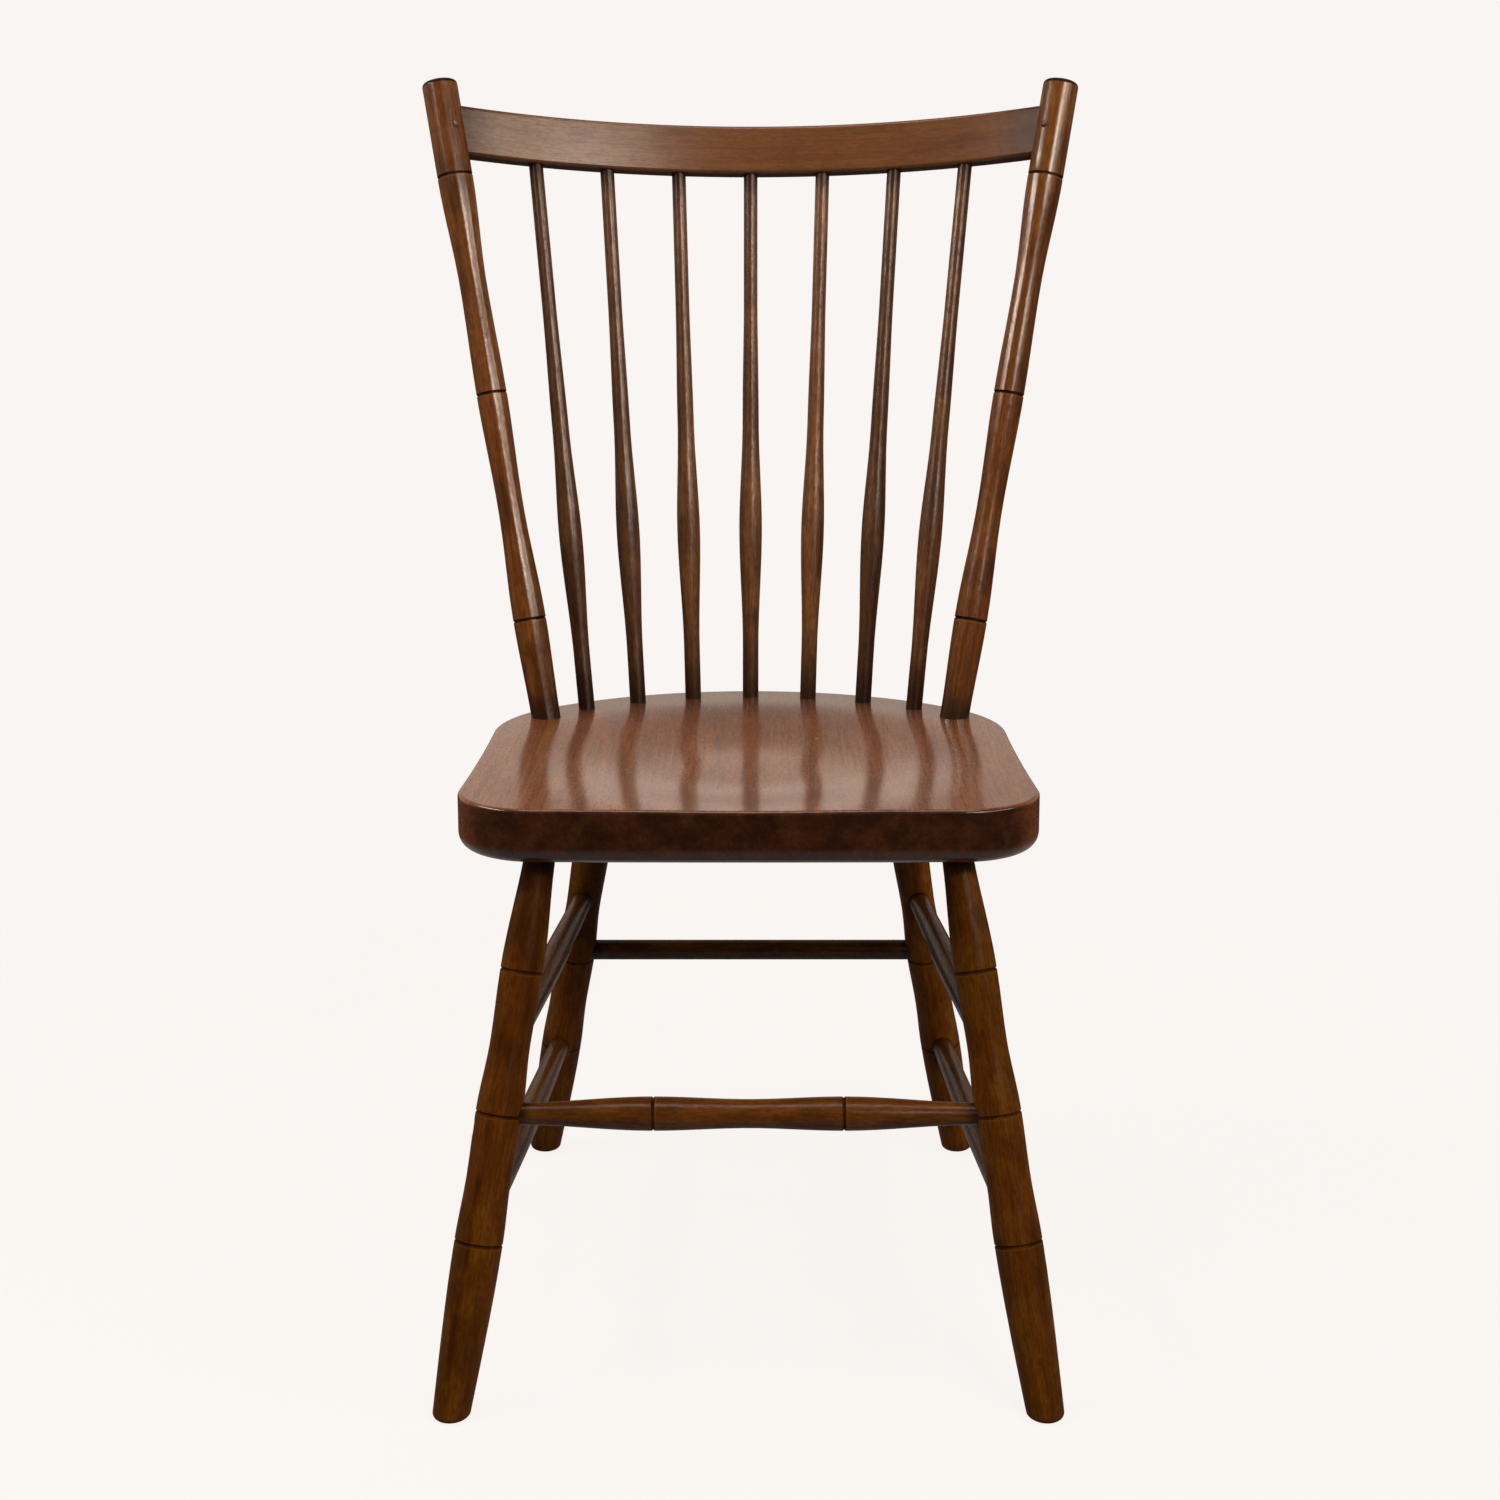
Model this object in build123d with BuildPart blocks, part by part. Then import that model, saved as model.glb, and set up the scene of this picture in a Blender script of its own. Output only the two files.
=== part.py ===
import os
from math import asin, cos, degrees, radians, sin, tan

from build123d import *

os.makedirs("parts", exist_ok=True)

# Driving dimensions, in millimetres and degrees.
# A setback is measured backwards from the seat's front edge, an inset inwards from its side,
# a rise or a drop along a stick.

# Seat plank
seat_height = 450.0
seat_thickness = 42.5
seat_pitch = 0.6
seat_depth = 434.0
seat_front_width = 448.0
seat_rear_width = 436.4
seat_front_bow = 3.0
seat_side_bow = 3.0
seat_rear_bow = 121.8
seat_front_corner = 62.0
seat_rear_corner = 130.0
seat_edge_round = 3.0
seat_bottom_round = 12.5
dish_depth = 11.0
dish_floor_diameter = 100.0
dish_rim = 20.0

# Line of the back sticks on the seat
stick_line_bow = 86.5
stick_line_margin = 26.0
post_spread = 357.0
spindle_count = 7
spindle_seat_margin = 47.5
spindle_rail_margin = 82.5

# Posts
post_length = 567.1
post_lean = 12.62
post_splay = 9.95
post_seat_diameter = 25.2
post_lower_ring_rise = 86.0
post_lower_ring_diameter = 28.7
post_lower_waist_diameter = 22.4
post_middle_ring_rise = 287.0
post_middle_ring_diameter = 26.6
post_upper_waist_diameter = 23.8
post_upper_ring_drop = 85.3
post_upper_ring_diameter = 31.0
post_top_diameter = 31.0
post_top_round = 4.0

# Crest rail, its middle a drop below the post tops
rail_height = 43.2
rail_thickness = 19.0
rail_bow = 70.5
rail_lean = 14.0
rail_drop = 43.6
rail_edge_round = 3.0
rail_end_gap = 2.0

# Spindles
spindle_seat_diameter = 14.3
spindle_swell_diameter = 20.7
spindle_neck_diameter = 14.9
spindle_rail_diameter = 12.5
spindle_foot_length = 46.0
spindle_swell_rise = 153.0
spindle_neck_rise = 250.0
spindle_straight_rise = 360.0
spindle_seat_tenon = 20.0
spindle_rail_tenon = 20.0

# Crest pins
pin_diameter = 3.2
pin_head_diameter = 6.4
pin_head_rise = 1.5
pin_length = 13.0
pin_angle = 37.0
pin_rise = 2.5

# Legs
front_leg_inset = 66.5
front_leg_setback = 56.0
front_leg_splay = 8.95
front_leg_rake = 15.8
rear_leg_turn = 38.5
rear_leg_splay = 9.75
rear_leg_rake = 11.8
leg_seat_diameter = 23.7
leg_upper_ring_drop = 95.0
leg_upper_ring_diameter = 32.6
leg_upper_waist_diameter = 30.5
leg_middle_ring_drop = 203.0
leg_middle_ring_diameter = 35.4
leg_lower_waist_diameter = 33.6
leg_lower_ring_drop = 299.0
leg_lower_ring_diameter = 36.4
leg_foot_diameter = 27.6
leg_foot_taper = 0.035
leg_foot_round = 4.0

# Stretchers, each a rise above the leg ring that it is nearest to
front_stretcher_end_diameter = 16.7
front_stretcher_ring_diameter = 25.4
front_stretcher_middle_diameter = 21.5
front_stretcher_ring_spread = 143.5
rear_stretcher_diameter = 18.1
rear_stretcher_rise = 5.0
side_stretcher_end_diameter = 18.1
side_stretcher_middle_diameter = 21.4
upper_stretcher_front_rise = 50.0
upper_stretcher_rear_rise = 62.0
lower_stretcher_front_rise = 12.0
lower_stretcher_rear_rise = 2.0
stretcher_past_axis = 5.0

# Ring grooves, sockets and glue lines
groove_width = 2.4
groove_depth = 0.9
glue_gap = 0.1
socket_end_gap = 0.8
socket_floor = 13.0
socket_wall = 2.9

# Skeleton of points and axes, with its front edge at y = 0

sides = {"left": -1, "right": 1}
stick_line_radius = ((post_spread / 2) ** 2 + stick_line_bow**2) / (2 * stick_line_bow)
stick_line_middle = seat_depth - stick_line_margin - stick_line_radius
rear_leg_radius = stick_line_radius - (spindle_seat_diameter + leg_seat_diameter) / 2 - socket_wall
rear_leg_x = rear_leg_radius * sin(radians(rear_leg_turn))
rear_leg_setback = stick_line_middle + rear_leg_radius * cos(radians(rear_leg_turn))


def on_seat(x, setback, depth=0.0):
    """Point at a depth below the seat's top plane, plumb under it."""
    return Vector(x, setback, seat_height - setback * tan(radians(seat_pitch)) - depth)


def on_stick_line(along):
    """Point of the stick line on the seat, a length of arc away from its middle."""
    turn = along / stick_line_radius
    return on_seat(stick_line_radius * sin(turn), stick_line_middle + stick_line_radius * cos(turn))


def slanted(splay, rake):
    """Upward unit direction that leans sideways by splay and backwards by rake."""
    return Vector(tan(radians(splay)), tan(radians(rake)), 1).normalized()


def evenly(count, reach):
    """Places of some sticks along an arc, evenly from -reach to reach."""
    return [reach * (2 * index / (count - 1) - 1) for index in range(count)]


post_along = stick_line_radius * asin(post_spread / 2 / stick_line_radius)
post_seats = {side: on_stick_line(sign * post_along) for side, sign in sides.items()}
post_axes = {side: slanted(sign * post_splay, post_lean) for side, sign in sides.items()}

leg_joints = {}
leg_axes = {}
for side, sign in sides.items():
    front_x = sign * (seat_front_width / 2 - front_leg_inset)
    leg_joints[f"front_{side}"] = on_seat(front_x, front_leg_setback, seat_thickness)
    leg_joints[f"rear_{side}"] = on_seat(sign * rear_leg_x, rear_leg_setback, seat_thickness)
    leg_axes[f"front_{side}"] = slanted(-sign * front_leg_splay, front_leg_rake)
    leg_axes[f"rear_{side}"] = slanted(-sign * rear_leg_splay, -rear_leg_rake)
leg_lengths = {leg: leg_joints[leg].Z / leg_axes[leg].Z for leg in leg_joints}

# The origin moves to the middle of the overall box, from the front feet to the back of the crest rail

rail_ends = {side: post_seats[side] + post_axes[side] * (post_length - rail_drop) for side in sides}
rail_up = Vector(0, sin(radians(rail_lean)), cos(radians(rail_lean)))
rail_back = Vector(0, cos(radians(rail_lean)), -sin(radians(rail_lean)))
front_foot = leg_joints["front_left"] - leg_axes["front_left"] * leg_lengths["front_left"]
front_reach = front_foot.Y - leg_foot_diameter / 2
back_corner = rail_ends["left"] + rail_back * (rail_bow + rail_thickness / 2) + rail_up * rail_height / 2
to_origin = Vector(0, -(front_reach + back_corner.Y) / 2, 0)

post_seats = {side: point + to_origin for side, point in post_seats.items()}
leg_joints = {leg: point + to_origin for leg, point in leg_joints.items()}
rail_ends = {side: point + to_origin for side, point in rail_ends.items()}

# Planes of the seat and of the rail, and the spindles between them

seat_normal = Vector(0, sin(radians(seat_pitch)), cos(radians(seat_pitch)))
seat_plane = Plane(origin=on_seat(0, 0) + to_origin, x_dir=(1, 0, 0), z_dir=seat_normal)

rail_middle = (rail_ends["left"] + rail_ends["right"]) * 0.5
rail_plane = Plane(origin=rail_middle, x_dir=(1, 0, 0), z_dir=rail_up)
rail_half_span = rail_ends["right"].X
rail_radius = (rail_half_span**2 + rail_bow**2) / (2 * rail_bow)
rail_along = rail_radius * asin(rail_half_span / rail_radius)

spindle_names = [f"spindle_{number}" for number in range(1, spindle_count + 1)]
seat_places = evenly(spindle_count, post_along - spindle_seat_margin)
rail_places = evenly(spindle_count, rail_along - spindle_rail_margin)
spindle_seats = {}
spindle_tops = {}
for name, seat_place, rail_place in zip(spindle_names, seat_places, rail_places):
    turn = rail_place / rail_radius
    rail_point = Vector(rail_radius * sin(turn), rail_bow - rail_radius * (1 - cos(turn)), -rail_height / 2)
    spindle_seats[name] = on_stick_line(seat_place) + to_origin
    spindle_tops[name] = rail_plane.from_local_coords(rail_point)
spindle_axes = {name: (spindle_tops[name] - spindle_seats[name]).normalized() for name in spindle_names}

# Each stretcher runs from one leg's axis to another's, and on past it by stretcher_past_axis


def on_leg(leg, drop):
    """Point on a leg's axis, a length down from the seat's underside."""
    return leg_joints[leg] - leg_axes[leg] * drop


stretcher_drops = {
    "front_stretcher": {
        "front_left": leg_middle_ring_drop,
        "front_right": leg_middle_ring_drop,
    },
    "rear_stretcher": {
        "rear_left": leg_middle_ring_drop - rear_stretcher_rise,
        "rear_right": leg_middle_ring_drop - rear_stretcher_rise,
    },
}
for side in sides:
    stretcher_drops[f"side_stretcher_upper_{side}"] = {
        f"front_{side}": leg_middle_ring_drop - upper_stretcher_front_rise,
        f"rear_{side}": leg_middle_ring_drop - upper_stretcher_rear_rise,
    }
    stretcher_drops[f"side_stretcher_lower_{side}"] = {
        f"front_{side}": leg_lower_ring_drop - lower_stretcher_front_rise,
        f"rear_{side}": leg_lower_ring_drop - lower_stretcher_rear_rise,
    }
stretcher_ends = {
    name: [on_leg(leg, drop) for leg, drop in drops.items()] for name, drops in stretcher_drops.items()
}
stretcher_end_diameters = dict.fromkeys(stretcher_drops, side_stretcher_end_diameter)
stretcher_end_diameters["front_stretcher"] = front_stretcher_end_diameter
stretcher_end_diameters["rear_stretcher"] = rear_stretcher_diameter

# Helpers for turned sticks and their sockets


def profile_plane(start, direction):
    """Plane through a stick's axis: x along the stick, y across it."""
    across = Plane(origin=start, z_dir=direction).x_dir
    return Plane(origin=start, x_dir=direction, z_dir=across)


def with_waists(rings, waists):
    """Knots of a stick's rings, with a waist midway between each two."""
    knots = [rings[0]]
    for (place, _), ring, waist in zip(rings, rings[1:], waists):
        knots.append(((place + ring[0]) / 2, waist))
        knots.append(ring)
    return knots


def turn_stick(start, direction, knots, rings=(), end_taper=0.0):
    """Turn a stick whose diameter changes smoothly from knot to knot, with a groove at each ring."""
    grooves = [place for place, _ in rings]
    with BuildSketch(profile_plane(start, direction)) as profile:
        with BuildLine():
            for (place, diameter), (next_place, next_diameter) in zip(knots, knots[1:]):
                begin = place + (groove_width / 2 if place in grooves else 0)
                finish = next_place - (groove_width / 2 if next_place in grooves else 0)
                taper = end_taper if next_place == knots[-1][0] else 0
                Spline(
                    (begin, diameter / 2),
                    (finish, next_diameter / 2),
                    tangents=((1, 0), (1, -taper)),
                )
                if next_place in grooves:
                    Polyline(
                        (finish, next_diameter / 2),
                        (next_place, next_diameter / 2 - groove_depth),
                        (next_place + groove_width / 2, next_diameter / 2),
                    )
            first, last = knots[0], knots[-1]
            Polyline((last[0], last[1] / 2), (last[0], 0), (first[0], 0), (first[0], first[1] / 2))
        make_face()
    revolve(profile.sketch, axis=Axis(start, direction))


def bore_socket(end, direction, diameter, length):
    """Cut the socket of a stick that stops at end, open along direction for a length."""
    bottom = end - direction * socket_end_gap
    with BuildSketch(Plane(origin=bottom, z_dir=direction)) as mouth:
        Circle(diameter / 2 + glue_gap)
    extrude(mouth.sketch, amount=length + socket_end_gap, mode=Mode.SUBTRACT)


def seat_tenon(axis):
    """Length of a leg or post inside the seat, leaving the socket's floor."""
    return (seat_thickness - socket_floor) / abs(axis.dot(seat_normal))


def rail_bar(grow):
    """Bent bar of the crest rail, or with some growth the mortise that it leaves in a post."""
    reach = degrees(asin((rail_half_span - rail_end_gap + grow) / rail_radius))
    middle = (0, rail_bow - rail_radius)
    outer = rail_radius + rail_thickness / 2 + grow
    inner = rail_radius - rail_thickness / 2 - grow
    with BuildPart() as bar:
        with BuildSketch(rail_plane):
            with BuildLine():
                back = CenterArc(middle, outer, 90 - reach, 2 * reach)
                front = CenterArc(middle, inner, 90 - reach, 2 * reach)
                Line(back @ 0, front @ 0)
                Line(back @ 1, front @ 1)
            make_face()
        extrude(amount=rail_height / 2 + grow, both=True)
        fillet(bar.edges().filter_by(GeomType.CIRCLE), rail_edge_round + grow)
    return bar.part


def pin_plane(side):
    """Plane on a crest pin's axis, at the post's axis, facing out of the post."""
    turn = radians(pin_angle)
    start = rail_plane.to_local_coords(rail_ends[side]) + Vector(0, 0, pin_rise)
    facing = Vector(-sides[side] * sin(turn), -cos(turn), 0)
    return Plane(rail_plane.location * Plane(origin=start, z_dir=facing).location)


# Seat

half_front = seat_front_width / 2
half_rear = seat_rear_width / 2
rear_setback = seat_depth - seat_rear_bow
side_middle = ((half_front + half_rear) / 2 - seat_side_bow, (seat_front_bow + rear_setback) / 2)
dish_radius = stick_line_radius - dish_rim
dish_middle = seat_plane.from_local_coords(Vector(0, stick_line_middle, 0))

with BuildPart() as seat:
    with BuildSketch(Plane(origin=dish_middle, x_dir=(1, 0, 0), z_dir=-seat_plane.y_dir)):
        with BuildLine():
            slope_foot = (dish_floor_diameter / 2, -dish_depth)
            Spline(slope_foot, (dish_radius, 0), tangents=((1, 0), (1, 0)))
            Polyline(
                (dish_radius, 0),
                (seat_depth, 0),
                (seat_depth, -seat_thickness),
                (0, -seat_thickness),
                (0, -dish_depth),
                slope_foot,
            )
        make_face()
    revolve(axis=Axis(dish_middle, seat_normal))

    with BuildSketch(seat_plane) as outline:
        with BuildLine():
            ThreePointArc((-half_front, seat_front_bow), (0, 0), (half_front, seat_front_bow))
            ThreePointArc((-half_rear, rear_setback), (0, seat_depth), (half_rear, rear_setback))
            for sign in sides.values():
                ThreePointArc(
                    (sign * half_front, seat_front_bow),
                    (sign * side_middle[0], side_middle[1]),
                    (sign * half_rear, rear_setback),
                )
        make_face()
        fillet(outline.vertices().group_by(Axis.Y)[0], seat_front_corner)
        fillet(outline.vertices().group_by(Axis.Y)[-1], seat_rear_corner)
    extrude(amount=2 * seat_thickness, both=True, mode=Mode.INTERSECT)

    fillet(seat.faces().sort_by(Axis.Z)[0].edges(), seat_bottom_round)
    floor, slope, deck = seat.faces().sort_by(Axis.Z)[-3:]
    inner_edges = slope.edges() & (floor.edges() + deck.edges())
    fillet(slope.edges() + deck.edges() - inner_edges, seat_edge_round)

    for leg, joint in leg_joints.items():
        tenon = seat_tenon(leg_axes[leg])
        bore_socket(joint + leg_axes[leg] * tenon, -leg_axes[leg], leg_seat_diameter, 2 * tenon)
    for side, point in post_seats.items():
        tenon = seat_tenon(post_axes[side])
        bore_socket(point - post_axes[side] * tenon, post_axes[side], post_seat_diameter, 2 * tenon)
    for name, point in spindle_seats.items():
        end = point - spindle_axes[name] * spindle_seat_tenon
        bore_socket(end, spindle_axes[name], spindle_seat_diameter, 2 * spindle_seat_tenon)

seat.part.label = "seat"
export_step(seat.part, "parts/seat.step")

# Crest rail

with BuildPart() as crest_rail:
    add(rail_bar(0))
    for name, point in spindle_tops.items():
        end = point + spindle_axes[name] * spindle_rail_tenon
        bore_socket(end, -spindle_axes[name], spindle_rail_diameter, 2 * spindle_rail_tenon)
    for side in sides:
        with BuildSketch(pin_plane(side)):
            Circle(pin_diameter / 2 + glue_gap)
        extrude(amount=post_top_diameter, both=True, mode=Mode.SUBTRACT)

crest_rail.part.label = "crest_rail"
export_step(crest_rail.part, "parts/crest_rail.step")

# Posts

post_rings = [
    (post_lower_ring_rise, post_lower_ring_diameter),
    (post_middle_ring_rise, post_middle_ring_diameter),
    (post_length - post_upper_ring_drop, post_upper_ring_diameter),
]
post_waists = [post_lower_waist_diameter, post_upper_waist_diameter]

for side in sides:
    knots = [(-seat_tenon(post_axes[side]), post_seat_diameter), (0, post_seat_diameter)]
    knots += with_waists(post_rings, post_waists)
    knots.append((post_length, post_top_diameter))

    with BuildPart() as post:
        turn_stick(post_seats[side], post_axes[side], knots, post_rings)
        fillet(post.faces().sort_by(Axis.Z)[-1].edges(), post_top_round)
        add(rail_bar(glue_gap), mode=Mode.SUBTRACT)
        with BuildSketch(pin_plane(side)):
            Circle(pin_diameter / 2 + glue_gap)
        extrude(amount=post_top_diameter, mode=Mode.SUBTRACT)

    post.part.label = f"post_{side}"
    export_step(post.part, f"parts/post_{side}.step")

# Crest pins, each with a domed head on the post's surface

for side in sides:
    plane = pin_plane(side)
    surface = post_top_diameter / 2
    head_edge = (surface + glue_gap, pin_head_diameter / 2)
    head_top = (surface + pin_head_rise, 0)
    with BuildPart() as pin:
        with BuildSketch(profile_plane(plane.origin, plane.z_dir)):
            with BuildLine():
                Polyline(
                    head_edge,
                    (surface + glue_gap, pin_diameter / 2),
                    (surface - pin_length, pin_diameter / 2),
                    (surface - pin_length, 0),
                    head_top,
                )
                TangentArc(head_top, head_edge, tangent=(0, 1))
            make_face()
        revolve(axis=Axis(plane.origin, plane.z_dir))

    pin.part.label = f"crest_pin_{side}"
    export_step(pin.part, f"parts/crest_pin_{side}.step")

# Spindles

for name in spindle_names:
    length = (spindle_tops[name] - spindle_seats[name]).length
    knots = [
        (-spindle_seat_tenon, spindle_seat_diameter),
        (spindle_foot_length, spindle_seat_diameter),
        (spindle_swell_rise, spindle_swell_diameter),
        (spindle_neck_rise, spindle_neck_diameter),
        (spindle_straight_rise, spindle_rail_diameter),
        (length + spindle_rail_tenon, spindle_rail_diameter),
    ]
    with BuildPart() as spindle:
        turn_stick(spindle_seats[name], spindle_axes[name], knots)

    spindle.part.label = name
    export_step(spindle.part, f"parts/{name}.step")

# Legs, turned too long by the foot's own diameter and cut level at the floor

leg_rings = [
    (leg_upper_ring_drop, leg_upper_ring_diameter),
    (leg_middle_ring_drop, leg_middle_ring_diameter),
    (leg_lower_ring_drop, leg_lower_ring_diameter),
]
leg_waists = [leg_upper_waist_diameter, leg_lower_waist_diameter]
leg_waste_diameter = leg_foot_diameter * (1 - 2 * leg_foot_taper)

for leg, joint in leg_joints.items():
    down = -leg_axes[leg]
    knots = [(-seat_tenon(down), leg_seat_diameter), (0, leg_seat_diameter)]
    knots += with_waists(leg_rings, leg_waists)
    knots.append((leg_lengths[leg] + leg_foot_diameter, leg_waste_diameter))

    with BuildPart() as leg_part:
        turn_stick(joint, down, knots, leg_rings, leg_foot_taper)
        split(bisect_by=Plane.XY, keep=Keep.TOP)
        fillet(leg_part.faces().sort_by(Axis.Z)[0].edges(), leg_foot_round)
        for name, drops in stretcher_drops.items():
            if leg in drops:
                own_end = on_leg(leg, drops[leg])
                inward = (sum(stretcher_ends[name], Vector()) / 2 - own_end).normalized()
                stop = own_end - inward * stretcher_past_axis
                bore_socket(stop, inward, stretcher_end_diameters[name], leg_lower_ring_diameter)

    leg_part.part.label = f"leg_{leg}"
    export_step(leg_part.part, f"parts/leg_{leg}.step")

# Stretchers, straight where they enter the legs

for name, (first_end, second_end) in stretcher_ends.items():
    run = (second_end - first_end).normalized()
    length = (second_end - first_end).length
    middle = length / 2
    straight = leg_middle_ring_diameter / 2
    end_diameter = stretcher_end_diameters[name]
    rings = []
    swell = []
    if name == "front_stretcher":
        rings = [
            (middle - front_stretcher_ring_spread / 2, front_stretcher_ring_diameter),
            (middle + front_stretcher_ring_spread / 2, front_stretcher_ring_diameter),
        ]
        swell = with_waists(rings, [front_stretcher_middle_diameter])
    elif name != "rear_stretcher":
        swell = [(middle, side_stretcher_middle_diameter)]
    knots = [
        (-stretcher_past_axis, end_diameter),
        (straight, end_diameter),
        *swell,
        (length - straight, end_diameter),
        (length + stretcher_past_axis, end_diameter),
    ]
    with BuildPart() as stretcher:
        turn_stick(first_end, run, knots, rings)

    stretcher.part.label = name
    export_step(stretcher.part, f"parts/{name}.step")
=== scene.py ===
import math

import bpy
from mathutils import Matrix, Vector

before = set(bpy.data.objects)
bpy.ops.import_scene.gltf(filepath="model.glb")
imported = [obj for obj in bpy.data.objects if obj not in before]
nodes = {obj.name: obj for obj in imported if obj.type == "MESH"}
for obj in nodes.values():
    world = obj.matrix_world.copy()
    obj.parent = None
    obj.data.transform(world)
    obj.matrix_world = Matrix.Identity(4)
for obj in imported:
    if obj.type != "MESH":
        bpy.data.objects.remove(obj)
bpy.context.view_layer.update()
scene = bpy.context.scene
bpy.ops.object.select_all(action="DESELECT")
print("frame loaded:", len(nodes), "pieces")


# Node helpers

def feedSocket(tree, socket, value):  # an output is linked, a plain value is set
    if isinstance(value, bpy.types.NodeSocket):
        tree.links.new(value, socket)
    else:
        socket.default_value = value


def newNode(tree, kind, values=None, **settings):
    node = tree.nodes.new(kind)
    for key, setting in settings.items():
        setattr(node, key, setting)
    for title, value in (values or {}).items():
        feedSocket(tree, node.inputs[title], value)
    return node


def mathNode(tree, operation, first, second=None):
    node = newNode(tree, "ShaderNodeMath", {0: first}, operation=operation)
    if second is not None:
        feedSocket(tree, node.inputs[1], second)
    return node.outputs["Value"]


def strongest(tree, masks):
    result = masks[0]
    for mask in masks[1:]:
        result = mathNode(tree, "MAXIMUM", result, mask)
    return result


def fadeNode(tree, value, start, end, low=0.0, high=1.0):  # smooth step between two values
    limits = {"From Min": start, "From Max": end, "To Min": low, "To Max": high}
    node = newNode(tree, "ShaderNodeMapRange", {"Value": value, **limits}, interpolation_type="SMOOTHSTEP")
    return node.outputs["Result"]


mixSockets = {"factor": 0, "first": 6, "second": 7, "result": 2}  # where a Mix node keeps its colours


def mixColour(tree, factor, first, second):
    values = {mixSockets["factor"]: factor, mixSockets["first"]: first, mixSockets["second"]: second}
    return newNode(tree, "ShaderNodeMix", values, data_type="RGBA").outputs[mixSockets["result"]]


def opaque(colour):
    return (*colour, 1.0)


def newGroup(name, inputs, outputs):
    group = bpy.data.node_groups.new(name, "ShaderNodeTree")
    for direction, sockets in (("INPUT", inputs), ("OUTPUT", outputs)):
        for title, kind in sockets.items():
            group.interface.new_socket(name=title, in_out=direction, socket_type="NodeSocket" + kind)
    return group, group.nodes.new("NodeGroupInput").outputs, group.nodes.new("NodeGroupOutput").inputs


# Stained wood, the grain running along z of the vector that comes in

grainLayers = {  # noise stretched along the grain, and the fade that makes a mask of it
    "patch": {"across": 52.0, "along": 30.0, "detail": 3.0, "shift": 0.0, "fade": (0.43, 0.58)},
    "shade": {"across": 34.0, "along": 16.0, "detail": 3.0, "shift": 23.5, "fade": (0.48, 0.62)},
    "warm": {"across": 42.0, "along": 3.0, "detail": 2.0, "shift": 17.9, "fade": (0.44, 0.62)},
    "broad": {"across": 95.0, "along": 2.5, "detail": 2.0, "shift": 3.1, "fade": (0.40, 0.60)},
    "streak": {"across": 320.0, "along": 7.0, "detail": 3.0, "shift": 7.7, "fade": (0.44, 0.64)},
    "hairs": {"across": 800.0, "along": 70.0, "detail": 2.0, "shift": 11.3, "fade": (0.46, 0.64)},
    "flecks": {"across": 520.0, "along": 170.0, "detail": 2.0, "shift": 29.9, "fade": (0.48, 0.64)},
}
grainMix = {"noiseRoughness": 0.55, "warmth": 0.6, "height": -0.5, "roughness": 0.10}


def makeWoodGrain():
    group, given, result = newGroup(
        "woodGrain",
        {"Vector": "Vector", "Seed": "Float", "Brown": "Color", "Dark": "Color", "Pale": "Color",
         "Red": "Color", "Blotches": "Float", "Streaks": "Float", "Pores": "Float"},
        {"Color": "Color", "Height": "Float", "Roughness": "Float", "Pores": "Float"})
    masks = {}
    for name, layer in grainLayers.items():
        scale = (layer["across"], layer["across"], layer["along"])
        stretch = newNode(group, "ShaderNodeMapping", {"Vector": given["Vector"], "Scale": scale})
        noise = newNode(group, "ShaderNodeTexNoise",
                        {"Vector": stretch.outputs["Vector"],
                         "W": mathNode(group, "ADD", given["Seed"], layer["shift"]),
                         "Scale": 1.0, "Detail": layer["detail"], "Roughness": grainMix["noiseRoughness"]},
                        noise_dimensions="4D")
        masks[name] = fadeNode(group, noise.outputs["Fac"], *layer["fade"])
    pores = mathNode(group, "MAXIMUM", masks["hairs"], masks["flecks"])
    colour = given["Brown"]
    for mask, amount, other in (
            (masks["patch"], given["Blotches"], given["Pale"]),
            (masks["warm"], grainMix["warmth"], given["Red"]),
            (masks["shade"], given["Blotches"], given["Dark"]),
            (masks["broad"], given["Streaks"], given["Pale"]),
            (masks["streak"], given["Streaks"], given["Dark"]),
            (pores, given["Pores"], given["Dark"])):
        colour = mixColour(group, mathNode(group, "MULTIPLY", mask, amount), colour, other)
    sunken = mathNode(group, "ADD", pores, masks["streak"])
    matt = mathNode(group, "ADD", pores, masks["broad"])
    feedSocket(group, result["Color"], colour)
    feedSocket(group, result["Height"], mathNode(group, "MULTIPLY", sunken, grainMix["height"]))
    feedSocket(group, result["Roughness"], mathNode(group, "MULTIPLY", matt, grainMix["roughness"]))
    feedSocket(group, result["Pores"], pores)
    return group


# Dark glaze left in the ring grooves and a dark line along the top rim; beside each groove a pale line,
# partly wear and partly painted highlight

ringLine = {"grooveHalf": 0.0013, "rimHalf": 0.0011, "outer": 1.5, "inner": 0.7,
            "rubbedHighlightFade": (0.0011, 0.0004),
            "wornScale": 70.0, "wornDetail": 2.0, "wornFade": (0.34, 0.56, 0.45, 1.0)}


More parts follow.
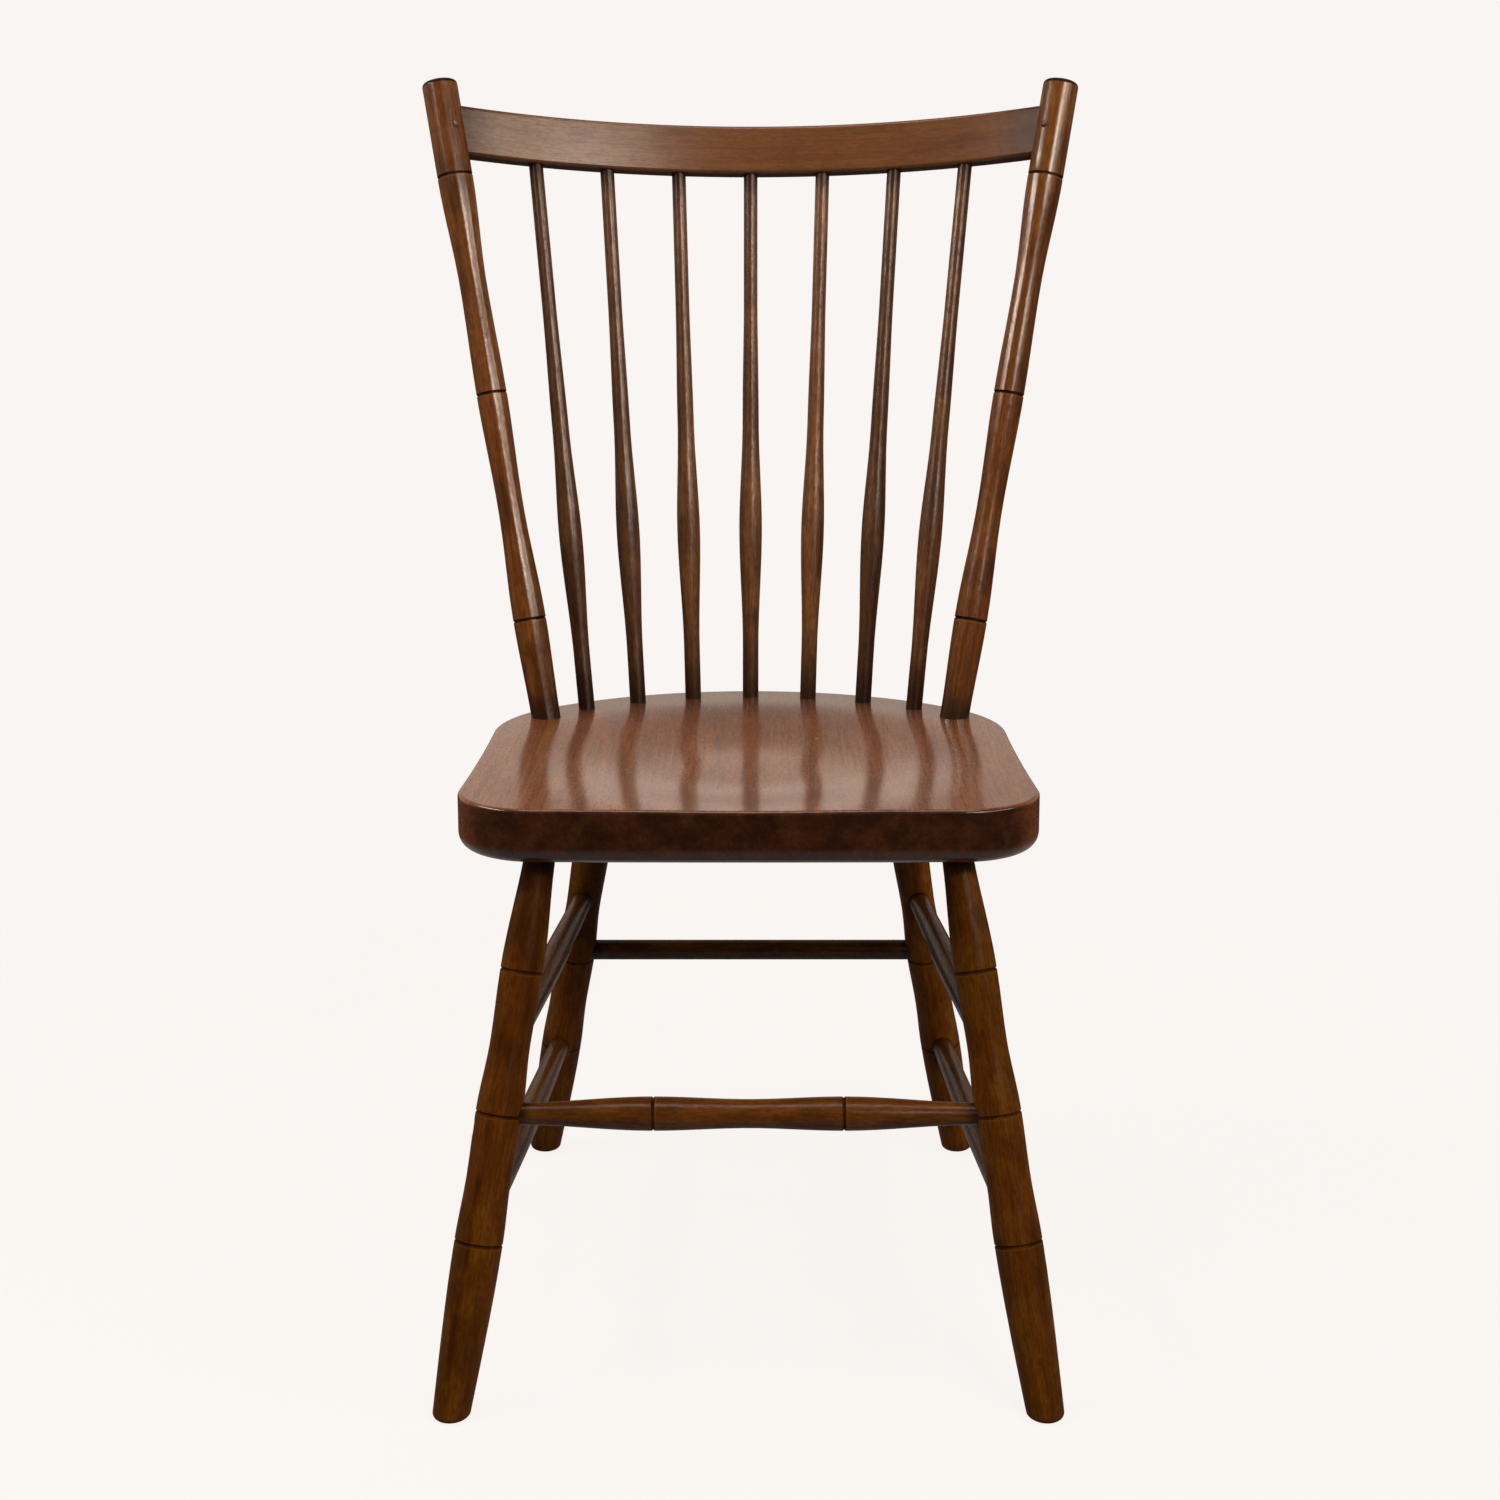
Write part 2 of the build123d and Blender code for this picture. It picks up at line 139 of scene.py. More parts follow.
def makeRingGlaze():
    group, given, result = newGroup(
        "ringGlaze",
        {"Vector": "Vector", "Ring 1": "Float", "Ring 2": "Float", "Ring 3": "Float", "Rim": "Float",
         "Below": "Float"},
        {"Glaze": "Float", "Rubbed Highlight": "Float"})
    along = newNode(group, "ShaderNodeSeparateXYZ", {"Vector": given["Vector"]}).outputs["Z"]
    glazed = []
    rubbedHighlight = []
    for title in ("Ring 1", "Ring 2", "Ring 3", "Rim"):
        half = ringLine["rimHalf"] if title == "Rim" else ringLine["grooveHalf"]
        away = mathNode(group, "SUBTRACT", along, given[title])
        distance = mathNode(group, "ABSOLUTE", away)
        glazed.append(fadeNode(group, distance, half * ringLine["outer"], half * ringLine["inner"]))
        # the pale line beside each groove is partly wear and partly a painted highlight
        if title != "Rim":
            beside = mathNode(group, "SUBTRACT", away, given["Below"])
            rubbedHighlight.append(fadeNode(group, mathNode(group, "ABSOLUTE", beside), *ringLine["rubbedHighlightFade"]))
    worn = newNode(group, "ShaderNodeTexNoise", {"Vector": given["Vector"], "Scale": ringLine["wornScale"],
                                                 "Detail": ringLine["wornDetail"]})
    left = fadeNode(group, worn.outputs["Fac"], *ringLine["wornFade"])
    feedSocket(group, result["Glaze"], mathNode(group, "MULTIPLY", strongest(group, glazed), left))
    feedSocket(group, result["Rubbed Highlight"], strongest(group, rubbedHighlight))
    return group


# Darkening where a stick enters its socket: stain at the joint, with painted shade where a neighbouring part
# shades it

stainAndShadeEdge = {"scale": 130.0, "detail": 2.0, "swing": 0.9, "least": 0.55}


def makeJointStainAndShade():
    group, given, result = newGroup(
        "jointStainAndShade",
        {"Vector": "Vector", "First": "Float", "First Reach": "Float", "Second": "Float",
         "Second Reach": "Float"},
        {"Stain And Shade": "Float"})
    along = newNode(group, "ShaderNodeSeparateXYZ", {"Vector": given["Vector"]}).outputs["Z"]
    wobble = newNode(group, "ShaderNodeTexNoise",
                     {"Vector": given["Vector"], "Scale": stainAndShadeEdge["scale"], "Detail": stainAndShadeEdge["detail"]})
    uneven = mathNode(group, "MULTIPLY", wobble.outputs["Fac"], stainAndShadeEdge["swing"])
    uneven = mathNode(group, "ADD", uneven, stainAndShadeEdge["least"])
    ends = []
    for title in ("First", "Second"):
        away = mathNode(group, "ABSOLUTE", mathNode(group, "SUBTRACT", along, given[title]))
        reach = mathNode(group, "MULTIPLY", given[title + " Reach"], uneven)
        ends.append(fadeNode(group, away, reach, 0.0))
    feedSocket(group, result["Stain And Shade"], strongest(group, ends))
    return group


woodGrain = makeWoodGrain()
ringGlaze = makeRingGlaze()
jointStainAndShade = makeJointStainAndShade()
print("shared effects made")


# One lacquered wood, its coordinates turned to the piece

woodSurface = {"bumpDistance": 0.0004, "endFade": (0.35, 0.85), "thirstScale": 55.0, "thirstDetail": 4.0,
               "thirstFade": (0.35, 0.65, 0.82, 1.0)}
nowhere = {"station": -9.0, "reach": 0.01}  # for rings and joints that a piece doesn't have


def startWood(name, finish):
    material = bpy.data.materials.new(name)
    material.use_nodes = True
    tree = material.node_tree
    shader = tree.nodes["Principled BSDF"]
    shader.inputs["IOR"].default_value = finish["ior"]
    shader.inputs["Specular IOR Level"].default_value = finish["sheen"]
    shader.inputs["Coat Weight"].default_value = finish["lacquer"]
    shader.inputs["Coat Roughness"].default_value = finish["lacquerRoughness"]
    shader.inputs["Coat IOR"].default_value = finish["ior"]
    place = newNode(tree, "ShaderNodeTexCoord").outputs["Object"]
    return material, tree, shader, place


def addGrain(tree, shader, vector, finish, seed, grainAxis):
    tints = {title: opaque(finish[title.lower()]) for title in ("Brown", "Dark", "Pale", "Red")}
    amounts = {title: finish[title.lower()] for title in ("Blotches", "Streaks", "Pores")}
    grain = newNode(tree, "ShaderNodeGroup", {"Vector": vector, "Seed": seed, **tints, **amounts},
                    node_tree=woodGrain)
    rough = mathNode(tree, "ADD", grain.outputs["Roughness"], finish["roughness"])
    bump = newNode(tree, "ShaderNodeBump", {"Height": grain.outputs["Height"], "Strength": finish["bump"],
                                            "Distance": woodSurface["bumpDistance"]})
    feedSocket(tree, shader.inputs["Roughness"], rough)
    feedSocket(tree, shader.inputs["Normal"], bump.outputs["Normal"])
    normal = newNode(tree, "ShaderNodeNewGeometry").outputs["Normal"]
    facing = newNode(tree, "ShaderNodeVectorMath", {0: normal, 1: grainAxis}, operation="DOT_PRODUCT")
    ends = mathNode(tree, "ABSOLUTE", facing.outputs["Value"])  # end grain drinks more stain
    ends = fadeNode(tree, ends, *woodSurface["endFade"], 0.0, finish["endGrain"])
    thirst = newNode(tree, "ShaderNodeTexNoise", {"Vector": vector, "Scale": woodSurface["thirstScale"],
                                                  "Detail": woodSurface["thirstDetail"]})
    thirst = fadeNode(tree, thirst.outputs["Fac"], *woodSurface["thirstFade"])
    ends = mathNode(tree, "MULTIPLY", ends, thirst)
    colour = mixColour(tree, ends, grain.outputs["Color"], opaque(finish["glaze"]))
    dull = mathNode(tree, "MULTIPLY", grain.outputs["Pores"], finish["lacquer"] * finish["speckle"])
    return colour, mathNode(tree, "SUBTRACT", finish["lacquer"], dull)


def addStainAndShade(tree, vector, joints):
    stainAndShade = newNode(tree, "ShaderNodeGroup", {"Vector": vector}, node_tree=jointStainAndShade)
    unused = (nowhere["station"], nowhere["reach"])
    for title, (station, reach) in zip(("First", "Second"), [*joints, unused]):
        stainAndShade.inputs[title].default_value = station
        stainAndShade.inputs[title + " Reach"].default_value = reach
    return stainAndShade.outputs["Stain And Shade"]


def addRings(tree, vector, stick):
    rings = newNode(tree, "ShaderNodeGroup", {"Vector": vector, "Below": stick["below"]}, node_tree=ringGlaze)
    rings.inputs["Rim"].default_value = stick.get("topRim", nowhere["station"])
    for title, station in zip(("Ring 1", "Ring 2", "Ring 3"), [*stick["rings"], nowhere["station"]]):
        rings.inputs[title].default_value = station
    return rings.outputs["Glaze"], rings.outputs["Rubbed Highlight"]


def dulled(tree, gloss, mask):
    return mathNode(tree, "MULTIPLY", gloss, mathNode(tree, "SUBTRACT", 1.0, mask))


def wearMaterial(nodeName, material):
    mesh = nodes[nodeName].data
    for index in range(len(mesh.materials)):
        mesh.materials[index] = material


stickFinish = {
    "brown": (0.117, 0.0345, 0.0032), "dark": (0.034, 0.0086, 0.0014), "pale": (0.205, 0.073, 0.0075),
    "red": (0.158, 0.039, 0.0080), "glaze": (0.010, 0.0025, 0.0008),
    "rings": 0.95, "rubbedHighlight": 0.4, "stainAndShade": 0.85, "dulling": 0.0,
    "blotches": 0.68, "streaks": 0.46, "pores": 0.42, "roughness": 0.42, "bump": 0.12, "endGrain": 0.7,
    "ior": 1.5, "sheen": 0.08, "lacquer": 0.95, "lacquerRoughness": 0.20, "speckle": 0.30,
    "edgeFade": (0.40, 0.75), "edgeGloss": 0.1,
}


def toned(finish, tone):  # the same wood, a darker or paler piece of it
    shades = {key: tuple(tone * part for part in finish[key]) for key in ("brown", "dark", "pale", "red")}
    return {**finish, **shades}


def stickLength(stick):
    return (Vector(stick["end"]) - Vector(stick["start"])).length


def stickWood(nodeName, stick, finish):
    start = Vector(stick["start"])
    run = Vector(stick["end"]) - start
    turn = run.rotation_difference(Vector((0, 0, 1)))
    material, tree, shader, place = startWood(nodeName + "Wood", finish)
    turned = newNode(tree, "ShaderNodeMapping",
                     {"Vector": place, "Rotation": turn.to_euler("XYZ"), "Location": -(turn @ start)})
    vector = turned.outputs["Vector"]
    colour, gloss = addGrain(tree, shader, vector, finish, stick["seed"], run.normalized())
    facing = newNode(tree, "ShaderNodeLayerWeight").outputs["Facing"]  # the lacquer shines less at the edges
    edges = fadeNode(tree, facing, *finish["edgeFade"], 1.0, finish["edgeGloss"])
    gloss = mathNode(tree, "MULTIPLY", gloss, edges)
    # darker near the joints: stain, and painted shade where a neighbouring part shades the stick
    stainAndShade = addStainAndShade(tree, vector, stick["joints"])
    dark = opaque(finish["glaze"])
    colour = mixColour(tree, mathNode(tree, "MULTIPLY", stainAndShade, finish["stainAndShade"]), colour, dark)
    gloss = dulled(tree, gloss, mathNode(tree, "MULTIPLY", stainAndShade, finish["dulling"]))
    if "rings" in stick:
        glaze, rubbedHighlight = addRings(tree, vector, stick)
        # a pale line below each groove: wear, and a painted highlight
        rubbedHighlight = mathNode(tree, "MULTIPLY", rubbedHighlight, finish["rubbedHighlight"])
        colour = mixColour(tree, rubbedHighlight, colour, opaque(finish["pale"]))
        colour = mixColour(tree, mathNode(tree, "MULTIPLY", glaze, finish["rings"]), colour, dark)
        gloss = dulled(tree, gloss, glaze)
    feedSocket(tree, shader.inputs["Coat Weight"], gloss)
    feedSocket(tree, shader.inputs["Base Color"], colour)
    wearMaterial(nodeName, material)


# Posts, from the seat up. A joint is its place along the stick and the reach of its stain and painted shade.

posts = {
    "post_left": {"start": (-0.1785, 0.0994, 0.4466), "end": (-0.2742, 0.2216, 0.9921), "seed": 1.3},
    "post_right": {"start": (0.1785, 0.0994, 0.4466), "end": (0.2742, 0.2216, 0.9921), "seed": 6.1},
}
postMarks = {"rings": (0.086, 0.287, 0.482), "topRim": 0.5645, "below": -0.0021, "joints": [(0.0, 0.034)]}
for name, stick in posts.items():
    stickWood(name, {**stick, **postMarks}, stickFinish)

# Spindles, from the seat up

spindleFinish = {**stickFinish, "brown": (0.103, 0.036, 0.0110), "dark": (0.034, 0.0115, 0.0042),
                 "pale": (0.190, 0.078, 0.0190), "red": (0.130, 0.038, 0.0160),
                 "lacquer": 1.0, "lacquerRoughness": 0.27, "speckle": 0.5, "dulling": 0.6}
spindles = {
    "spindle_1": {"start": (-0.1454, 0.1334, 0.4463), "end": (-0.1923, 0.2410, 0.9207),
                  "tone": 0.68, "shine": 0.85},
    "spindle_2": {"start": (-0.1015, 0.1620, 0.4460), "end": (-0.1298, 0.2600, 0.9160),
                  "tone": 0.78, "shine": 1.00},
    "spindle_3": {"start": (-0.0521, 0.1799, 0.4458), "end": (-0.0654, 0.2715, 0.9131),
                  "tone": 0.98, "shine": 1.00},
    "spindle_4": {"start": (0.0000, 0.1859, 0.4457), "end": (0.0000, 0.2753, 0.9121),
                  "tone": 1.05, "shine": 1.00},
    "spindle_5": {"start": (0.0521, 0.1799, 0.4458), "end": (0.0654, 0.2715, 0.9131),
                  "tone": 1.22, "shine": 0.95},
    "spindle_6": {"start": (0.1015, 0.1620, 0.4460), "end": (0.1298, 0.2600, 0.9160),
                  "tone": 0.62, "shine": 0.75},
    "spindle_7": {"start": (0.1454, 0.1334, 0.4463), "end": (0.1923, 0.2410, 0.9207),
                  "tone": 0.95, "shine": 0.70},
}
spindleMarks = {"seatReach": 0.068, "railReach": 0.034, "pastEnd": 0.004, "firstSeed": 10.0, "seedStep": 2.7}
for number, (name, stick) in enumerate(spindles.items()):
    stick["seed"] = spindleMarks["firstSeed"] + spindleMarks["seedStep"] * number
    # both ends darken: stain at the joints, and painted shade under the rail
    stick["joints"] = [(0.0, spindleMarks["seatReach"]),
                       (stickLength(stick) + spindleMarks["pastEnd"], spindleMarks["railReach"])]
    finish = toned(spindleFinish, stick["tone"])
    finish["lacquer"] *= stick["shine"]
    stickWood(name, stick, finish)

# Legs, from the seat down

legFinish = {**stickFinish, "brown": (0.082, 0.0236, 0.0006), "dark": (0.031, 0.0082, 0.0004),
             "pale": (0.137, 0.049, 0.0022), "red": (0.107, 0.0262, 0.0030), "rings": 0.55,
             "blotches": 0.75, "streaks": 0.28, "pores": 0.40, "sheen": 0.02,
             "lacquer": 0.14, "lacquerRoughness": 0.30, "edgeGloss": 0.5}
legs = {
    "leg_front_left": {"start": (-0.1575, -0.1661, 0.4069), "end": (-0.2216, -0.2812, 0.0),
                       "seed": 31.0, "tone": 1.0},
    "leg_front_right": {"start": (0.1575, -0.1661, 0.4069), "end": (0.2216, -0.2812, 0.0),
                        "seed": 36.9, "tone": 1.0},
    "leg_rear_left": {"start": (-0.1279, 0.1194, 0.4039), "end": (-0.1973, 0.2037, 0.0),
                      "seed": 37.2, "tone": 1.05},
    # leg_rear_right's high tone is painted light on a leg under the seat
    "leg_rear_right": {"start": (0.1279, 0.1194, 0.4039), "end": (0.1973, 0.2037, 0.0),
                       "seed": 41.6, "tone": 1.3},
}
# the top of each leg darkens: stain at the joint and painted shade under the seat
legMarks = {"rings": (0.095, 0.203, 0.299), "below": 0.0021, "joints": [(0.0, 0.022)]}
for name, stick in legs.items():
    stickWood(name, {**stick, **legMarks}, toned(legFinish, stick["tone"]))

# Stretchers, from leg to leg

stretcherFinish = {**legFinish, "brown": (0.120, 0.038, 0.0042), "blotches": 0.6, "streaks": 0.3,
                   "lacquer": 0.50, "lacquerRoughness": 0.26, "edgeGloss": 1.0}
stretchers = {
    "front_stretcher": {"start": (-0.1879, -0.2207, 0.2138), "end": (0.1879, -0.2207, 0.2138),
                        "seed": 51.0, "tone": 1.05, "ringsFromMiddle": 0.07175},
    # the rear stretcher's low tone is painted shade under the seat
    "rear_stretcher": {"start": (-0.1608, 0.1593, 0.2128), "end": (0.1608, 0.1593, 0.2128),
                       "seed": 53.0, "tone": 0.36},
    "side_stretcher_upper_left": {"start": (-0.1804, -0.2073, 0.2614), "end": (-0.1513, 0.1478, 0.2678),
                                  "seed": 55.0, "tone": 0.6},
    "side_stretcher_upper_right": {"start": (0.1804, -0.2073, 0.2614), "end": (0.1513, 0.1478, 0.2678),
                                   "seed": 57.0, "tone": 0.6},
    "side_stretcher_lower_left": {"start": (-0.2005, -0.2433, 0.1339), "end": (-0.1772, 0.1792, 0.1172),
                                  "seed": 59.0, "tone": 0.6},
    "side_stretcher_lower_right": {"start": (0.2005, -0.2433, 0.1339), "end": (0.1772, 0.1792, 0.1172),
                                   "seed": 61.0, "tone": 0.6},
}
stretcherMarks = {"legRadius": 0.017, "reach": 0.010, "below": 0.0021}
for name, stick in stretchers.items():
    length = stickLength(stick)
    stick["joints"] = [(station, stretcherMarks["reach"])
                       for station in (stretcherMarks["legRadius"], length - stretcherMarks["legRadius"])]
    if "ringsFromMiddle" in stick:
        stick["rings"] = (length / 2 - stick["ringsFromMiddle"], length / 2 + stick["ringsFromMiddle"])
        stick["below"] = stretcherMarks["below"]
    stickWood(name, stick, toned(stretcherFinish, stick["tone"]))

# Crest pins

pinFinish = {**stickFinish, "brown": (0.150, 0.075, 0.0380), "pale": (0.230, 0.125, 0.0650), "endGrain": 0.15,
             "lacquer": 1.0, "lacquerRoughness": 0.16, "speckle": 0.1, "edgeGloss": 0.6, "dulling": 0.6}
pins = {
    "crest_pin_left": {"start": (-0.2670, 0.2128, 0.9526), "end": (-0.2568, 0.1996, 0.9559), "seed": 71.0},
    "crest_pin_right": {"start": (0.2670, 0.2128, 0.9526), "end": (0.2568, 0.1996, 0.9559), "seed": 73.0},
}
pinMarks = {"joints": [(0.0153, 0.0014)]}  # dark rim of the head: painted shade where the head meets the post
for name, stick in pins.items():
    stickWood(name, {**stick, **pinMarks}, pinFinish)
print("turned sticks finished")

# Crest rail: the grain follows the bend

railFinish = {**stickFinish, "brown": (0.128, 0.0495, 0.0150), "dark": (0.052, 0.0178, 0.0058),
              "pale": (0.186, 0.080, 0.0215), "red": (0.148, 0.0490, 0.0160), "stainAndShade": 0.6,
              "blotches": 0.30, "streaks": 0.20, "pores": 0.27,
              "lacquer": 1.00, "lacquerRoughness": 0.23, "speckle": 0.25}
rail = {"middle": (0.0, 0.21217, 0.95016), "lean": 14.0, "radius": 0.5402, "bow": 0.0705, "seed": 81.0,
        "joints": [(-0.272, 0.046), (0.268, 0.052)]}


def railWood():
    material, tree, shader, place = startWood("railWood", railFinish)
    lean = math.radians(rail["lean"])
    turn = Vector((0, 1, 0)).rotation_difference(Vector((0, math.cos(lean), -math.sin(lean)))).inverted()
    middle = -(turn @ Vector(rail["middle"]))
    upright = newNode(tree, "ShaderNodeMapping",
                      {"Vector": place, "Rotation": turn.to_euler("XYZ"), "Location": middle})
    split = newNode(tree, "ShaderNodeSeparateXYZ", {"Vector": upright.outputs["Vector"]}).outputs
    depth = mathNode(tree, "ADD", split["Y"], rail["radius"] - rail["bow"])
    angle = mathNode(tree, "ARCTAN2", split["X"], depth)
    along = mathNode(tree, "MULTIPLY", angle, rail["radius"])
    squares = [mathNode(tree, "POWER", side, 2.0) for side in (split["X"], depth)]
    reach = mathNode(tree, "SQRT", mathNode(tree, "ADD", *squares))
    across = mathNode(tree, "SUBTRACT", reach, rail["radius"])
    bent = newNode(tree, "ShaderNodeCombineXYZ", {"X": across, "Y": split["Z"], "Z": along}).outputs["Vector"]
    colour, gloss = addGrain(tree, shader, bent, railFinish, rail["seed"], (1, 0, 0))
    # darker at both ends: stain at the joints and painted shade beside the posts
    stainAndShade = mathNode(tree, "MULTIPLY", addStainAndShade(tree, bent, rail["joints"]), railFinish["stainAndShade"])
    colour = mixColour(tree, stainAndShade, colour, opaque(railFinish["glaze"]))
    feedSocket(tree, shader.inputs["Coat Weight"], dulled(tree, gloss, stainAndShade))
    feedSocket(tree, shader.inputs["Base Color"], colour)
    wearMaterial("crest_rail", material)


railWood()

# Seat: the grain runs from front to back

seatFinish = {**stickFinish, "brown": (0.172, 0.053, 0.0150), "dark": (0.058, 0.0150, 0.0046),
              "pale": (0.250, 0.092, 0.0270), "red": (0.200, 0.051, 0.0150),
              "glaze": (0.0120, 0.0021, 0.0008),
              "blotches": 0.20, "streaks": 0.46, "pores": 0.40, "endGrain": 0.88,
              "lacquer": 1.0, "lacquerRoughness": 0.155, "speckle": 0.08}
seat = {"seed": 91.0, "rearShade": (0.03, 0.18), "rearShadeAmount": 0.78,
        "scratchTurn": 35.0, "scratchScale": (9.0, 700.0, 9.0), "scratchFade": (0.70, 0.74),
        "scratches": 0.30, "topFade": (0.7, 0.95),
        "nick": (0.0571, 0.048, 0.438), "nickSize": 0.0022, "nickCore": 0.4, "nickColour": (0.62, 0.47, 0.36)}


def seatWood():
    material, tree, shader, place = startWood("seatWood", seatFinish)
    lengthwise = newNode(tree, "ShaderNodeMapping", {"Vector": place, "Rotation": (math.radians(90), 0, 0)})
    colour, gloss = addGrain(tree, shader, lengthwise.outputs["Vector"], seatFinish, seat["seed"], (0, 1, 0))
    split = newNode(tree, "ShaderNodeSeparateXYZ", {"Vector": place}).outputs
    rear = fadeNode(tree, split["Y"], *seat["rearShade"], 0.0, seat["rearShadeAmount"])
    colour = mixColour(tree, rear, colour, opaque(seatFinish["dark"]))  # painted shade, darker towards the sticks
    turned = newNode(tree, "ShaderNodeMapping",
                     {"Vector": place, "Rotation": (0, 0, math.radians(seat["scratchTurn"]))})
    stretched = newNode(tree, "ShaderNodeMapping",
                        {"Vector": turned.outputs["Vector"], "Scale": seat["scratchScale"]})
    scratch = newNode(tree, "ShaderNodeTexNoise",
                      {"Vector": stretched.outputs["Vector"], "Scale": 1.0, "Detail": 1.0})
    scratch = fadeNode(tree, scratch.outputs["Fac"], *seat["scratchFade"], 0.0, seat["scratches"])
    normal = newNode(tree, "ShaderNodeNewGeometry").outputs["Normal"]
    upward = newNode(tree, "ShaderNodeSeparateXYZ", {"Vector": normal}).outputs["Z"]
    scratch = mathNode(tree, "MULTIPLY", scratch, fadeNode(tree, upward, *seat["topFade"]))
    colour = mixColour(tree, scratch, colour, opaque(seatFinish["pale"]))
    nick = newNode(tree, "ShaderNodeMapping",
                   {"Vector": place, "Location": [-value for value in seat["nick"]]})
    away = newNode(tree, "ShaderNodeVectorMath", {0: nick.outputs["Vector"]}, operation="LENGTH")
    nick = fadeNode(tree, away.outputs["Value"], seat["nickSize"], seat["nickSize"] * seat["nickCore"])
    colour = mixColour(tree, nick, colour, opaque(seat["nickColour"]))
    feedSocket(tree, shader.inputs["Coat Weight"], gloss)
    feedSocket(tree, shader.inputs["Base Color"], colour)
    wearMaterial("seat", material)


seatWood()
print("rail and seat finished")

# Studio: pale floor that fades into the pale backdrop

studio = {
    "backdrop": (0.947, 0.913, 0.888),
    "air": (1.0, 0.95, 0.90), "airFade": (-0.5, 0.3), "airBelow": 0.3, "ambientFront": 0.05,
    "ambientLeft": 0.62, "leftFade": (-0.95, -0.35), "ambientRight": 0.40, "rightFade": (0.35, 0.95),
    "ambientBack": 2.30, "backFade": (0.35, 0.95), "backRise": (0.2, 0.6), "backHigh": 0.25,
    "gloss": (1.0, 0.80, 0.67), "glossFront": 0.012, "wallFade": (-0.1, 0.5), "horizonFade": (-0.06, 0.12),
    "glossLow": 0.84, "glossHigh": 0.36, "wallRise": (0.14, 0.38),
    "glossLeft": 0.88, "wallLeft": (-0.14, -0.08), "glossRight": 0.74, "wallRight": (0.02, 0.14),
}


def makeWorld():
    world = bpy.data.worlds.new("studio")
    scene.world = world
    world.use_nodes = True
    tree = world.node_tree
    tree.nodes.clear()
    path = newNode(tree, "ShaderNodeLightPath").outputs
    sight = newNode(tree, "ShaderNodeTexCoord").outputs["Generated"]
    split = newNode(tree, "ShaderNodeSeparateXYZ", {"Vector": sight}).outputs

    wall = fadeNode(tree, split["Y"], *studio["wallFade"])  # what the lacquer mirrors
    for part in (fadeNode(tree, split["Z"], *studio["horizonFade"]),
                 fadeNode(tree, split["X"], *studio["wallRight"], 1.0, studio["glossRight"]),
                 fadeNode(tree, split["X"], *studio["wallLeft"], studio["glossLeft"], 1.0)):
        wall = mathNode(tree, "MULTIPLY", wall, part)
    wallGloss = fadeNode(tree, split["Z"], *studio["wallRise"], studio["glossLow"], studio["glossHigh"])
    mirrored = newNode(tree, "ShaderNodeBackground", {"Color": opaque(studio["gloss"])})
    feedSocket(tree, mirrored.inputs["Strength"],
               fadeNode(tree, wall, 0.0, 1.0, studio["glossFront"], wallGloss))

    leftSide = fadeNode(tree, split["X"], *studio["leftFade"], studio["ambientLeft"], 0.0)
    rightSide = fadeNode(tree, split["X"], *studio["rightFade"], 0.0, studio["ambientRight"])
    backSide = fadeNode(tree, split["Y"], *studio["backFade"], 0.0, studio["ambientBack"])
    backLow = fadeNode(tree, split["Z"], *studio["backRise"], 1.0, studio["backHigh"])
    backSide = mathNode(tree, "MULTIPLY", backSide, backLow)
    around = mathNode(tree, "ADD", mathNode(tree, "ADD", leftSide, rightSide), backSide)
    around = mathNode(tree, "MULTIPLY", around,
                      fadeNode(tree, split["Z"], *studio["airFade"], studio["airBelow"], 1.0))
    air = newNode(tree, "ShaderNodeBackground", {"Color": opaque(studio["air"])})
    feedSocket(tree, air.inputs["Strength"], mathNode(tree, "ADD", around, studio["ambientFront"]))

    seen = newNode(tree, "ShaderNodeBackground", {"Color": opaque(studio["backdrop"]), "Strength": 1.0})
    lit = newNode(tree, "ShaderNodeMixShader",
                  {0: path["Is Glossy Ray"], 1: air.outputs[0], 2: mirrored.outputs[0]})
    direct = mathNode(tree, "MAXIMUM", path["Is Camera Ray"], path["Is Transmission Ray"])
    both = newNode(tree, "ShaderNodeMixShader", {0: direct, 1: lit.outputs[0], 2: seen.outputs[0]})
    newNode(tree, "ShaderNodeOutputWorld", {"Surface": both.outputs[0]})


floorLook = {"radius": 1.5, "sides": 96, "height": -0.0004, "fadeStart": 0.55, "fadeEnd": 0.98,
             "shade": (0.06, 0.06, 0.06), "glow": 0.944, "gloss": 0.30}


